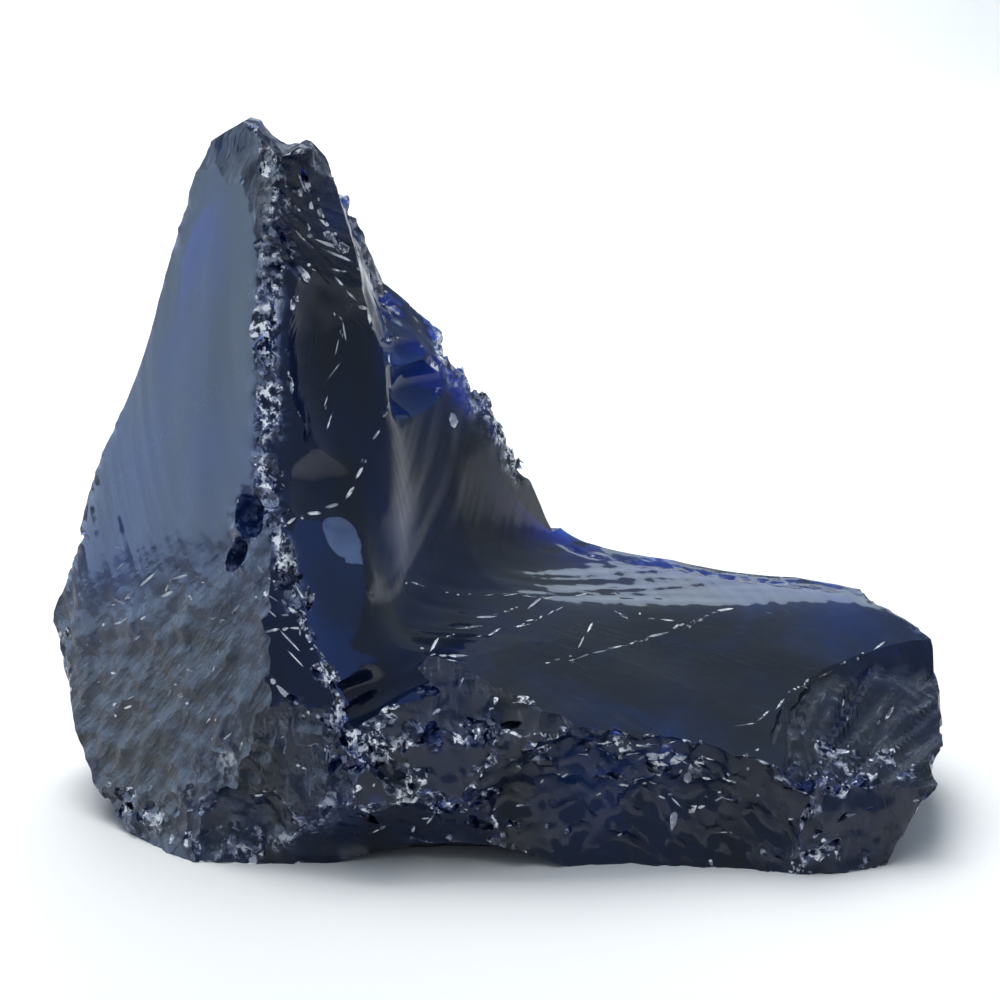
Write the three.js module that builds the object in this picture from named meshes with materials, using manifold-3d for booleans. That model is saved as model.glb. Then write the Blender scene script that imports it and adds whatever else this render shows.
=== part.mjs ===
// A chunk of cobalt-blue slag glass, broken off a larger mass.
// An upright horn stands at the left end and a low foot runs out to the right.
// Every face is a fracture: the glass outside it has been knocked away.
// Millimetres, up is +Z, the chunk stands on the flat fracture at z = 0.
import * as THREE from "three";
import { mergeVertices } from "three/addons/utils/BufferGeometryUtils.js";
import Module from "manifold-3d";

const wasm = await Module();
wasm.setup();

const DEPTH = 56;
const HEIGHT = 87.6;
const HORN_LEFT = -58;
const HORN_RIGHT = 12;
const FOOT_LEFT = -36;
const FOOT_RIGHT = 56;
const FOOT_HEIGHT = 30;
const KNOCKED_AWAY = 120;
const SHARP = 0.6;
const HEART = new THREE.Vector3(-20, 4, 20);

// The places where the main fractures meet.
const corner = {
  crown: [-30.6, 0, 87.8],
  capLeft: [-37.2, 1.5, 81.5],
  capFront: [-28, -6.5, 80],
  spineTop: [-27.6, -7, 81.5],
  spineLow: [-28, -16.5, 46.8],
  bladeFoot: [-18, -27.5, 18.3],
  leftHigh: [-38.8, 3, 77.5],
  leftWide: [-55.4, 8, 32],
  leftLow: [-56.2, 4, 16],
  leftFoot: [-46.4, -13, 0.4],
  backRidge: [-22, 24, 55],
  bumpRight: [-18.8, 4, 78.6],
  ribHigh: [-14.6, 7, 63.6],
  ribMid: [-14.2, -4, 58],
  shoulder: [-5.4, 11, 57.2],
  rightLow: [4.4, 18, 40.8],
};

const clamp = THREE.MathUtils.clamp;
const flat = () => 0;
const bowl = (t, radius) => (t * t) / (2 * radius);
const swell = (t, centre, half) => Math.exp(-(((t - centre) / half) ** 2));

// Faces that bound the whole chunk.
const skin = {
  cheek: {
    through: [corner.spineTop, corner.spineLow, corner.leftWide],
    form: (u) => bowl(u, -300),
  },
  cap: {
    through: [corner.crown, corner.capLeft, corner.capFront],
    form: (u) => bowl(u, -40),
    reach: [44, 44],
  },
  crownRight: { at: [-24.5, 1, 85.4], facing: [0.3, -0.1, 0.95] },
  crownLeft: { at: [-33.5, 1, 86.2], facing: [-0.5, 0.1, 0.86] },
  ladder: { through: [corner.spineLow, corner.bladeFoot, [-26.2, -22, 28.7]] },
  toe: {
    at: [-26.8, -24.9, 11],
    facing: [-0.37, -0.93, -0.03],
    form: (u, v) => bowl(u, 44) + bowl(v, 44),
  },
  heel: {
    through: [corner.leftLow, [-51.6, -6, 4.5], [-53, 20, 8]],
    form: (u, v) => bowl(v, -90),
  },
  heelBevel: { through: [[-50.6, -6, 3], corner.leftFoot, [-47, 15, 0]] },
  backFoot: {
    at: [20, 25.5, 16],
    facing: [0.05, 0.99, -0.1],
    form: (u, v) => bowl(u, -400) + bowl(v, -120),
  },
  under: { at: [0, 0, 0], facing: [0, 0, -1] },
};

const horn = {
  rightChips: { through: [corner.shoulder, corner.rightLow, [-7.2, -2.5, 52]] },
  backRight: {
    through: [corner.bumpRight, corner.rightLow, corner.backRidge],
    form: (u, v) => bowl(u, -200) + swell(v, 0, 12),
  },
  backLeft: {
    through: [corner.leftHigh, corner.leftWide, corner.backRidge],
    form: (u, v) => bowl(u, -200) + 0.6 * swell(v, -12, 10) - 2 * swell(v, 3, 12) - 0.7 * swell(v, -24, 8),
  },
};

// Steps: a wall and a tread that met inside the glass, so the corner between them is hollow.
const hornSteps = {
  aboveBlade: [
    { through: [corner.spineTop, corner.spineLow, corner.ribMid] },
    { through: [corner.spineLow, corner.bladeFoot, [-14, -7.7, 44]], form: (u) => bowl(u, 300) },
  ],
  aboveShoulder: [
    { through: [corner.bumpRight, corner.ribHigh, corner.ribMid] },
    { through: [corner.ribHigh, corner.shoulder, corner.ribMid] },
  ],
};

const foot = {
  footTop: { through: [[-1.2, -25, 22.2], [32, -27, 13.6], [24.3, 8, 25.2]] },
  knee: { through: [corner.bladeFoot, [-8.4, -14.8, 26.8], [-1, -27, 19]] },
  footFront: { at: [12, -26.5, 10], facing: [0.02, -0.98, -0.1] },
  endFront: { at: [43.3, -22.8, 7.3], facing: [0.4, -0.92, 0.04] },
  footEnd: {
    through: [[54.8, -19, 13], [46, -24, 0], [53, 15, 3]],
    form: (u, v) => bowl(v, -60),
  },
  endWall: { at: [55.6, 0, 15], facing: [1, -0.1, 0.05] },
  endBack: { at: [54, 14.7, 20], facing: [0.8, 0.56, 0.05] },
  endTop: { at: [53.5, 8, 22.2], facing: [0.5, 0.1, 0.86] },
};

const footSteps = {
  hackledEnd: [
    { at: [36.5, -9, 16.6], facing: [0.78, -0.46, 0.42], form: (u) => bowl(u, 60) },
    { at: [46, -10, 13.4], facing: [0.3, -0.25, 0.92] },
  ],
};

// The great hollow fracture between horn and foot: steep on the horn, bending out into the saddle.
const trough = {
  at: [-2.7, 5.5, 29.8],
  facing: [0.637, -0.318, 0.7],
  form: (u, v) => {
    const bend = 0.79 * (Math.hypot(v, 5) - 5) + Math.min(0, 0.12 * u);
    return bend + bowl(u + 6, u < -6 ? 22 : 45) * clamp(v / 12, 0, 1);
  },
};

// Dish-shaped scars: [wide, tall, deep] of each dish, and where it sits.
const scars = {
  crownNotch: { at: [-26.2, -2, 86.4], facing: [0.1, -0.35, 0.93], dish: [7, 11, 2] },
  streaks: { at: [-22, -4.2, 74], facing: [0.6, -0.72, 0.34], dish: [10.7, 14.7, 0.9] },
  darkBowl: { at: [-19.6, -7.5, 59], facing: [0.56, -0.8, 0.22], dish: [14, 25, 2.6] },
  smallScoop: { at: [-21.2, -13.2, 45.2], facing: [0.5, -0.78, 0.38], dish: [10.4, 9.2, 1.5] },
  biteHigh: { at: [-30.6, -16.4, 43], facing: [-0.3, -0.92, 0.2], dish: [7.2, 8, 2] },
  biteLow: { at: [-31.8, -18.2, 37.4], facing: [-0.4, -0.88, 0.25], dish: [6.4, 7.6, 2] },
  saddleBowl: { at: [27, 22, 25.4], facing: [0.2, 0.05, 0.98], dish: [17, 17, 0.6] },
  frontHollow: { at: [15, -26, 11], facing: [0.03, -0.97, -0.2], dish: [36.6, 22.6, 4] },
  arch: { at: [-3, -26.5, 5.5], facing: [-0.1, -0.93, -0.36], dish: [27.6, 17.6, 3.2] },
  backThroat: { at: [-15, 18.6, 50], facing: [0.4, 0.8, 0.46], dish: [18.2, 21.4, 2.6] },
  backHigh: { at: [-33, 11.5, 62], facing: [-0.5, 0.8, 0.3], dish: [16, 24, 1.8] },
  backLow: { at: [-36, 22, 26], facing: [-0.35, 0.93, 0.1], dish: [32, 27.8, 3.2] },
  backFootBowl: { at: [14, 25.5, 13], facing: [0.02, 0.99, -0.15], dish: [36.8, 25.6, 3.4] },
};

// Rough patches, where many small flakes have come away from a face.
const crushed = {
  knee: { at: [-7.2, -24, 20.4], facing: [-0.16, -0.69, 0.7], spread: [9, 4], many: 12, size: [1.6, 3.2] },
  toe: { at: [-27, -24.4, 10], facing: [-0.37, -0.93, -0.03], spread: [8, 8], many: 15, size: [1.8, 3.4] },
  heel: { at: [-44.5, -9.5, 15], facing: [-0.7, -0.66, 0.22], spread: [10, 12], many: 14, size: [1.6, 3.4] },
  rungs: { at: [-24.2, -21.2, 30], facing: [-0.27, -0.92, 0.26], spread: [2, 10], many: 9, size: [1.2, 2.2] },
  archRoof: { at: [-4, -25.6, 9], facing: [-0.1, -0.93, -0.2], spread: [12, 3], many: 12, size: [1.4, 2.8] },
  sill: { at: [26, -25.6, 5], facing: [0.1, -0.98, -0.05], spread: [10, 4], many: 12, size: [1.4, 3] },
  endChips: { at: [46, -22, 12.2], facing: [0.4, -0.9, 0.15], spread: [6, 2.4], many: 10, size: [1.4, 2.6] },
  sparkle: { at: [0.5, 9, 47], facing: [0.86, -0.36, 0.36], spread: [3, 8], many: 10, size: [1.4, 2.6] },
  crown: { at: [-24, -1.2, 84.4], facing: [0.3, -0.5, 0.8], spread: [4, 3], many: 7, size: [1.4, 2.6] },
};
const edgeFlakes = { perLength: 0.085, size: [0.9, 3.4], seed: 12 };

// A closed three.js geometry as a solid that can be joined and cut.
function solid(geometry) {
  geometry.deleteAttribute("normal");
  geometry.deleteAttribute("uv");
  const merged = mergeVertices(geometry, 1e-4);
  return new wasm.Manifold(
    new wasm.Mesh({
      numProp: 3,
      vertProperties: new Float32Array(merged.attributes.position.array),
      triVerts: new Uint32Array(merged.index.array),
    }),
  );
}

function block(left, right, height) {
  const box = new THREE.BoxGeometry(right - left, DEPTH, height);
  box.translate((left + right) / 2, 0, height / 2);
  return solid(box);
}

// A right-handed frame whose third axis faces out of the glass.
function frameOf(at, outward) {
  const pole = Math.abs(outward.z) > 0.9 ? new THREE.Vector3(0, 1, 0) : new THREE.Vector3(0, 0, 1);
  const across = pole.cross(outward).normalize();
  const upward = outward.clone().cross(across);
  return new THREE.Matrix4().makeBasis(across, upward, outward).setPosition(at);
}

function placed({ at, facing, through }) {
  if (!through) return frameOf(new THREE.Vector3(...at), new THREE.Vector3(...facing).normalize());
  const [a, b, c] = through.map((spot) => new THREE.Vector3(...spot));
  const outward = b.clone().sub(a).cross(c.clone().sub(a)).normalize();
  if (outward.dot(a.clone().sub(HEART)) < 0) outward.negate();
  return frameOf(a.add(b).add(c).multiplyScalar(1 / 3), outward);
}

// The glass that one fracture knocks away: a slab whose near face has the fracture's form.
function fracture(face) {
  let form = face.form ?? flat;
  let reach = face.reach ?? [150, 150];
  if (face.dish) {
    const [wide, tall, deep] = face.dish;
    form = (u, v) => deep * (4 * (u / wide) ** 2 + 4 * (v / tall) ** 2 - 1);
    reach = [wide * 1.4, tall * 1.4];
  }
  const grid = form === flat ? 50 : 4.2;
  const cells = reach.map((length) => Math.ceil(length / grid));
  const slab = new THREE.BoxGeometry(...reach, KNOCKED_AWAY, ...cells, 1);
  slab.translate(0, 0, KNOCKED_AWAY / 2);
  const place = slab.attributes.position;
  for (let i = 0; i < place.count; i++)
    if (place.getZ(i) < 1) place.setZ(i, form(place.getX(i), place.getY(i)));
  return solid(slab.applyMatrix4(placed(face)));
}

function cut(stock, faces) {
  return Object.values(faces).reduce((left, face) => left.subtract(fracture(face)), stock);
}

function cutSteps(stock, steps) {
  return Object.values(steps).reduce(
    (left, [wall, tread]) => left.subtract(fracture(wall).intersect(fracture(tread))),
    stock,
  );
}

// Repeatable scatter.
function dice(seed) {
  let state = seed;
  return () => {
    state = (state + 0x6d2b79f5) | 0;
    let t = Math.imul(state ^ (state >>> 15), 1 | state);
    t = (t + Math.imul(t ^ (t >>> 7), 61 | t)) ^ t;
    return ((t ^ (t >>> 14)) >>> 0) / 4294967296;
  };
}

function flake(radius, roll) {
  const lump = new THREE.IcosahedronGeometry(radius, 0);
  lump.rotateX(roll() * 6);
  lump.rotateY(roll() * 6);
  lump.rotateZ(roll() * 6);
  return lump;
}

// Shallow flakes out of one rough patch.
function crush(stock, { at, facing, spread, many, size }) {
  const roll = dice(Math.round(at[0] * 7 + at[2] * 13));
  const patch = frameOf(new THREE.Vector3(...at), new THREE.Vector3(...facing).normalize());
  let left = stock;
  for (let i = 0; i < many; i++) {
    const radius = size[0] + (size[1] - size[0]) * roll();
    const lump = flake(radius, roll);
    lump.scale(1.7, 1.1, 0.6);
    lump.rotateZ(roll() * 6);
    lump.rotateX(0.7 * roll() - 0.35);
    lump.translate(
      spread[0] * (2 * roll() - 1),
      spread[1] * (2 * roll() - 1),
      radius * (0.1 + 0.3 * roll()),
    );
    left = left.subtract(solid(lump.applyMatrix4(patch)));
  }
  return left;
}

// Every outward edge sharper than SHARP radians, with the direction it points in.
function sharpEdges(made) {
  const mesh = made.getMesh();
  const size = mesh.numProp;
  const spot = (i) => new THREE.Vector3(...mesh.vertProperties.subarray(i * size, i * size + 3));
  const seen = new Map();
  const edges = [];
  for (let t = 0; t < mesh.triVerts.length; t += 3) {
    const ids = [...mesh.triVerts.subarray(t, t + 3)];
    const [a, b, c] = ids.map(spot);
    const normal = b.clone().sub(a).cross(c.clone().sub(a)).normalize();
    ids.forEach((from, k) => {
      const to = ids[(k + 1) % 3];
      const other = seen.get(`${to},${from}`);
      if (!other) {
        seen.set(`${from},${to}`, normal);
        return;
      }
      const turn = normal.angleTo(other);
      const outward = other.dot(spot(ids[(k + 2) % 3]).sub(spot(from))) < 0;
      const away = normal.clone().add(other).normalize();
      if (outward && turn > SHARP) edges.push({ from: spot(from), to: spot(to), away, turn });
    });
  }
  return edges;
}

// Flakes struck off the sharp edges; the resting edge keeps its corners.
function chipEdges(stock, { perLength, size, seed }) {
  const roll = dice(seed);
  let left = stock;
  for (const { from, to, away, turn } of sharpEdges(stock)) {
    let many = Math.floor(from.distanceTo(to) * perLength * turn + roll());
    while (many-- > 0) {
      const radius = size[0] + (size[1] - size[0]) * roll() ** 3;
      const lump = flake(radius, roll);
      const centre = from.clone().lerp(to, roll());
      centre.addScaledVector(away, radius * (0.1 + 0.35 * roll()));
      lump.scale(1.4, 1, 0.8);
      lump.translate(centre.x, centre.y, centre.z);
      if (centre.z > radius) left = left.subtract(solid(lump));
    }
  }
  return left;
}

function geometryOf(made) {
  const mesh = made.getMesh();
  const places = new Float32Array(mesh.numVert * 3);
  for (let i = 0; i < mesh.numVert; i++)
    places.set(mesh.vertProperties.subarray(i * mesh.numProp, i * mesh.numProp + 3), i * 3);
  const geometry = new THREE.BufferGeometry();
  geometry.setAttribute("position", new THREE.BufferAttribute(places, 3));
  geometry.setIndex(new THREE.BufferAttribute(mesh.triVerts, 1));
  geometry.computeVertexNormals();
  return geometry;
}

const hornBlock = cutSteps(cut(block(HORN_LEFT, HORN_RIGHT, HEIGHT), horn), hornSteps);
const footBlock = cutSteps(cut(block(FOOT_LEFT, FOOT_RIGHT, FOOT_HEIGHT), foot), footSteps);
const broken = cut(cut(hornBlock.add(footBlock), skin), { trough, ...scars });
const chunk = chipEdges(Object.values(crushed).reduce(crush, broken), edgeFlakes);

const glass = new THREE.MeshStandardMaterial({ color: 0x141a33, roughness: 0.12, metalness: 0 });
const mesh = new THREE.Mesh(geometryOf(chunk), glass);
mesh.name = "glass_chunk";
const part = new THREE.Group();
part.name = "slag_glass_chunk";
part.add(mesh);

export default part;
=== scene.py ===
import math
import bmesh
import bpy
import numpy as np
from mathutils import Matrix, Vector
from mathutils.bvhtree import BVHTree


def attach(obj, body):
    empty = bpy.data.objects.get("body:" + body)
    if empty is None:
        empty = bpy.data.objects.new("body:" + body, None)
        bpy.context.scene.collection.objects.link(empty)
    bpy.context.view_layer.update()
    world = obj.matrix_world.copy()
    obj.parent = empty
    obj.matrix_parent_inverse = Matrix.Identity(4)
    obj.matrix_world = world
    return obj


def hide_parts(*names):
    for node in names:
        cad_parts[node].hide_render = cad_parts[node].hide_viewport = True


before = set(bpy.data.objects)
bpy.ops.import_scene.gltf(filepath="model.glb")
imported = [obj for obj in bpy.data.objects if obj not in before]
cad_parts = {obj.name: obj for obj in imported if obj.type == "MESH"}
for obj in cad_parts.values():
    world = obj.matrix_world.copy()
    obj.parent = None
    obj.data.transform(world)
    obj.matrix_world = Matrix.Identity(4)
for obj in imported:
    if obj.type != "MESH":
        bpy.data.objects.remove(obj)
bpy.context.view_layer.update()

# The lump as it broke: slag glass is one cold mass with no grain, so it parts in curved, shell-like
# faces with keen edges between them. Each face below is one fracture, and everything outside it is
# knocked away. The lump is worked in millimetres and brought to metres when it is done.
MM = 0.001
DEPTH = 56.0
HEIGHT = 87.6
HORN_SIDES = (-58.0, 12.0)
FOOT_SIDES = (-36.0, 56.0)
FOOT_HEIGHT = 30.0
KNOCKED_AWAY = 120.0
HEART = np.array([-20.0, 4.0, 20.0])
FINE = 0.6  # between grid lines where a face shows
COARSE = 5.0  # and where it does not
MARGIN = 5.0  # of fine grid past what shows
TOUCHING = 0.6  # a face shows where the rough lump comes this close
PAST_THE_RIM = 1.4  # how much wider a scar's slab is than its dish
ROUND_A_START = 40  # length given to each radian round the point where a crack started
CHIP_SIZE = 2.2
CHIP_SEAT = 0.25

crown = (-30.5, 0, 88)
cap_left = (-37, 1.5, 81.5)
cap_front = (-28, -6.5, 80)
spine_top = (-27.5, -7, 81.5)
spine_low = (-28, -16.5, 47)
blade_foot = (-18, -27.5, 18.5)
left_high = (-39, 3, 77.5)
left_wide = (-55.5, 8, 32)
left_low = (-56, 4, 16)
left_foot = (-46.5, -13, 0.5)
back_ridge = (-22, 24, 55)
bump_right = (-19, 4, 78.5)
rib_high = (-14.5, 7, 63.5)
rib_mid = (-14, -4, 58)
shoulder = (-5.5, 11, 57)
right_low = (4.5, 18, 41)


def unit(v):
    return np.asarray(v, float) / np.linalg.norm(v)


def bowl(t, radius):
    return t * t / (2 * radius)


def swell(t, centre, half):
    return np.exp(-(((t - centre) / half) ** 2))


def ramp(t, low, high):
    s = np.clip((t - low) / (high - low), 0, 1)
    return s * s * (3 - 2 * s)


def uneven(u, v, size, seed, octaves=3):
    """Smooth random relief between about -1 and 1, with lumps of the given size."""
    table = np.random.default_rng(seed).uniform(-1, 1, (64, 64))
    total = np.zeros(np.shape(u))
    x, y = u / size, v / size
    for octave in range(octaves):
        i, j = np.floor(x).astype(int), np.floor(y).astype(int)
        s, t = x - i, y - j
        s, t = s * s * (3 - 2 * s), t * t * (3 - 2 * t)
        i, j, i1, j1 = i & 63, j & 63, (i + 1) & 63, (j + 1) & 63
        near = table[i, j] * (1 - s) + table[i1, j] * s
        far = table[i, j1] * (1 - s) + table[i1, j1] * s
        total += (near * (1 - t) + far * t) / 2**octave
        x, y = 1.6 * x - 1.2 * y + 7.3, 1.2 * x + 1.6 * y + 3.1
    return total


def rings(u, v, start, spacing, height, fade=60.0):
    """Ripples round the point where the crack started, dying out with distance."""
    r = np.hypot(u - start[0], v - start[1])
    warped = r + 0.7 * uneven(u, v, 14, 5, 2)
    beat = 0.55 + 0.45 * uneven(r, 0 * r, 9, 11, 2)
    return height * beat * np.sin(2 * math.pi * warped / spacing) * np.exp(-r / fade)


def hackles(u, v, start, width, height, seed):
    """Fine steps that run straight out from the point where the crack started."""
    r = np.hypot(u - start[0], v - start[1])
    turn = np.arctan2(v - start[1], u - start[0])
    return height * (1 - 2 * np.abs(uneven(turn * ROUND_A_START / width, r / 22, 1, seed, 2)))


def scoops(u, v, size, seed):
    """Shallow overlapping flake scars with keen ridges between them."""
    table = np.random.default_rng(seed).uniform(-0.5, 0.5, (5, 64, 64))
    x = (u + 0.35 * size * uneven(u, v, 1.3 * size, seed)) / size
    y = (v + 0.35 * size * uneven(u, v, 1.3 * size, seed + 1)) / size
    i, j = np.floor(x).astype(int), np.floor(y).astype(int)
    lowest = np.full(np.shape(u), 9.0)
    for di in (-1, 0, 1):
        for dj in (-1, 0, 1):
            aside, along, deep, lean, tip = table[:, (i + di) & 63, (j + dj) & 63]
            s, t = x - i - di - 0.5 - aside, y - j - dj - 0.5 - along
            lowest = np.minimum(lowest, 1.6 * (s * s + t * t) + 1.5 * (lean * s + tip * t) + deep - 0.4)
    return lowest


def rugged(u, v, size, depth, seed):
    """Rough broken glass: large flake scars, with smaller ones on them."""
    return depth * (scoops(u, v, size, seed) + 0.4 * scoops(u, v, 0.4 * size, seed + 5) - 0.2)


def plain(u, v):
    return np.zeros(np.shape(u))


def closeness(places, start, end, width):
    start, end = np.asarray(start, float), np.asarray(end, float)
    run = end - start
    along = np.clip((places - start) @ run / max(run @ run, 1e-9), 0, 1)
    gap = np.linalg.norm(places - start - along[:, None] * run, axis=1)
    return np.exp(-((gap / width) ** 2))


worn_lines = [
    # from, to, how wide, how badly, how white (the white is crushed glass, partly painted glints)
    ((-28, -4, 87), spine_top, 2.4, 0.7, 0.6),
    (bump_right, rib_high, 2.6, 0.7, 0.35),
    ((-24, -2, 84.5), bump_right, 1.8, 0.5, 0.4),
    (spine_top, (-28, -11, 66), 1.5, 1.0, 1.0),
    ((-28, -11, 66), spine_low, 1.7, 1.1, 1.0),
    (shoulder, right_low, 2.8, 1.0, 1.3),
    ((-30.5, -15.5, 43), (-32, -15.5, 37), 2.2, 0.5, 0.5),
    (spine_low, (-24.5, -21, 33), 1.2, 0.8, 0.6),
    (blade_foot, (-1, -27, 19), 2.4, 0.9, 0.2),
    ((-1, -27, 19), (32, -27, 13), 1.5, 0.8, 0.14),
    ((40, -25, 11), (54, -14, 17), 2.0, 0.9, 0.13),
    ((-50, -6, 3), (-30, -22, 1.5), 2.4, 1.0, 0.45),
    ((-30, -22, 1.5), (-20, -25, 6), 2.2, 0.9, 0.5),
    ((-20, -25, 6), (-12, -26.5, 11), 1.8, 0.9, 0.35),
    ((-12, -27, 12), (8, -27, 3), 1.5, 0.8, 0.12),
    ((14, -27, 2), (50, -23, 2), 1.4, 0.8, 0.1),
    (left_wide, left_low, 1.6, 0.5, 0.3),
    ((-42, -13, 4), (-32, -20, 14), 1.2, 0.7, 0.5),
    ((-32, -20, 14), (-25, -23, 20), 1.2, 0.7, 0.5),
    ((-25, -23, 20), (-18, -27, 18.5), 1.5, 0.8, 0.6),
    ((-34, -20, 9), (-20, -25, 11), 6, 0.4, 0.15),
    ((6, 23, 28), (50, 22, 21.5), 1.0, 0.5, 0.3),
    ((-46, 22, 0.5), (50, 23, 0.5), 1.8, 0.7, 0.4),
    (left_high, left_wide, 1.2, 0.5, 0.3),
    (left_wide, back_ridge, 1.4, 0.6, 0.4),
    (bump_right, back_ridge, 1.4, 0.6, 0.4),
    (back_ridge, right_low, 1.6, 0.6, 0.4),
    ((55, 14, 20), (54, 16, 0), 1.6, 0.7, 0.4),
]


def wear_at(places):
    """How deep, and how white, the small chips are near the worn lines; the white is crushed glass and
    partly painted glints.
    """
    near = [closeness(places, a, b, wide) for a, b, wide, badly, white in worn_lines]
    deep = sum(each * line[3] for each, line in zip(near, worn_lines))
    pale = sum(each * line[4] for each, line in zip(near, worn_lines))
    x, y, z = places.T
    patchy = 1 + 0.45 * uneven(x + 0.6 * y, z - 0.6 * y, 3.5, 75, 2)
    return deep * patchy, pale * patchy


painted_light_spots = [
    # where a blue glow is painted, standing in for light through thin glass; how wide, how strongly
    ((-19, -16, 37), 5.5, 0.3),
    ((-12, -6, 37), 5, 0.4),
    ((-10.5, 4, 56.5), 6, 0.5),
    ((-13.5, 0.5, 59.5), 2.4, 1.5),
    ((-4, 12, 50), 3.5, 0.7),
    ((0, 15, 43), 3.5, 0.6),
    ((-20, -2, 76), 3, 0.6),
    ((-36, 0, 72), 6, 0.8),
    ((-41, 1, 60), 6, 0.7),
    ((-47, 2, 47), 7, 0.8),
    ((-34, -9, 48), 7, 0.6),
    ((-50, 2, 33), 8, 0.8),
    ((-38, -10, 35), 6, 0.5),
    ((15, -22, 12), 8, 0.5),
    ((40, 12, 22.5), 9, 0.5),
    ((-19, -27, 6), 5, 0.4),
]


# Painted light: how much blue glow, standing in for light through thin glass, each place gets.
def painted_light_at(places):
    return sum(strong * closeness(places, spot, spot, wide) for spot, wide, strong in painted_light_spots)


class Fracture:
    """One break. Its own axes are across, upward and outward, and form is its height along outward."""

    def __init__(self, name, at=None, facing=None, through=None, form=plain, relief=plain,
                 reach=(150, 150), dish=None, start=(0, 40), matte=0.0, turn=0.0, light=0.0):
        if through is not None:
            a, b, c = (np.asarray(spot, float) for spot in through)
            outward = unit(np.cross(b - a, c - a))
            at = (a + b + c) / 3
            outward = outward if outward @ (a - HEART) > 0 else -outward
        else:
            outward = unit(facing)
        pole = (0, 1, 0) if abs(outward[2]) > 0.9 else (0, 0, 1)
        across = unit(np.cross(pole, outward))
        turn = math.radians(turn)
        across = across * math.cos(turn) + np.cross(outward, across) * math.sin(turn)
        self.name, self.at = name, np.asarray(at, float)
        self.axes = np.array([across, np.cross(outward, across), outward])
        self.form, self.relief, self.reach, self.start = form, relief, reach, start
        # light is a painted blue glow over the whole face, standing in for light through thin glass.
        self.light = light
        self.matte = matte if callable(matte) else lambda u, v: matte + plain(u, v)
        if dish:
            wide, tall, deep = dish
            self.form = lambda u, v: deep * (4 * (u / wide) ** 2 + 4 * (v / tall) ** 2 - 1)
            self.reach = (wide * PAST_THE_RIM, tall * PAST_THE_RIM)

    def lines(self, axis, low, high):
        """Grid lines across the slab: close together where the face shows, wide apart elsewhere."""
        half = self.reach[axis] / 2
        low, high = max(low, -half), min(high, half)
        fine = np.linspace(low, high, math.ceil((high - low) / FINE) + 1)
        before = np.linspace(-half, low, math.ceil((low + half) / COARSE) + 1)[:-1]
        after = np.linspace(high, half, math.ceil((half - high) / COARSE) + 1)[1:]
        return np.concatenate([before, fine, after])

    def slab(self, near_places):
        """The glass this break knocks away, as a closed mesh: its near face, its sides and its back."""
        u, v, w = ((near_places - self.at) @ self.axes.T).T
        shown = np.abs(w - self.form(u, v)) < TOUCHING
        shown &= (np.abs(u) < self.reach[0] / 2) & (np.abs(v) < self.reach[1] / 2)
        shown |= not shown.any()
        us = self.lines(0, u[shown].min() - MARGIN, u[shown].max() + MARGIN)
        vs = self.lines(1, v[shown].min() - MARGIN, v[shown].max() + MARGIN)
        rows, cols = len(us), len(vs)
        u, v = (each.ravel() for each in np.meshgrid(us, vs, indexing="ij"))
        smooth = np.stack([u, v, self.form(u, v)], -1)
        places = smooth @ self.axes + self.at
        wear, pale = wear_at(places)
        # Painted light: the blue glow that stands in for light through thin glass.
        light = self.light + painted_light_at(places)
        chips = 0.9 * scoops(u, v, CHIP_SIZE, 71) + 0.5 * scoops(u, v, CHIP_SIZE / 2, 73)
        face = smooth + np.stack([0 * u, 0 * u, self.relief(u, v) + wear * (chips - CHIP_SEAT)], -1)
        index = np.arange(rows * cols).reshape(rows, cols)
        a, b, c, d = index[:-1, :-1], index[1:, :-1], index[1:, 1:], index[:-1, 1:]
        first, second = np.stack([a, d, b], -1), np.stack([b, d, c], -1)
        rim = np.concatenate([index[:-1, 0], index[-1, :-1], index[:0:-1, -1], index[0, :0:-1]])
        start, hub = rows * cols, rows * cols + len(rim)
        here = np.arange(len(rim))
        after = np.roll(here, -1)
        sides = [
            np.stack([rim, rim[after], start + after], -1),
            np.stack([rim, start + after, start + here], -1),
            np.stack([start + here, start + after, np.full(len(rim), hub)], -1),
        ]
        back = np.concatenate([face[rim] * [1, 1, 0], [[0, 0, 0]]]) + [0, 0, KNOCKED_AWAY]
        triangles = np.concatenate([first.reshape(-1, 3), second.reshape(-1, 3), *sides])
        slab = mesh_object(self.name, np.concatenate([face, back]) @ self.axes + self.at, triangles)
        u, v = np.append(u, back[:, 0]), np.append(v, back[:, 1])
        corners = triangles.ravel()
        away = -unit(self.start)
        aside, ahead = u - self.start[0], v - self.start[1]
        radius = np.hypot(aside, ahead)
        turn = np.arctan2(away[0] * ahead - away[1] * aside, away[0] * aside + away[1] * ahead)
        pale = np.append(np.clip(pale, 0, 1), np.zeros(len(back)))
        light = np.append(np.clip(light, 0, 2), np.zeros(len(back)))
        keep(slab, "matte", "CORNER", self.matte(u, v)[corners])
        keep(slab, "glow", "CORNER", light[corners])
        keep(slab, "chipped", "CORNER", pale[corners])
        lines = slab.data.uv_layers.new(name="break_lines")
        along = np.stack([radius, turn * ROUND_A_START], -1)[corners]
        lines.data.foreach_set("uv", along.astype(np.float32).ravel())
        return slab


def mesh_object(name, places, faces):
    mesh = bpy.data.meshes.new(name)
    mesh.from_pydata(places, [], faces)
    made = bpy.data.objects.new(name, mesh)
    bpy.context.scene.collection.objects.link(made)
    return made


def keep(thing, name, domain, values):
    """Stores a number on each corner or point of a mesh, for the flakes and the finish to read."""
    layers = thing.data.attributes
    if name in layers:
        layers.remove(layers[name])
    layers.new(name, "FLOAT", domain).data.foreach_set("value", np.asarray(values, np.float32))


def places_of(thing):
    spots = np.empty(len(thing.data.vertices) * 3, np.float32)
    thing.data.vertices.foreach_get("co", spots)
    return spots.reshape(-1, 3).astype(float)


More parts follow.
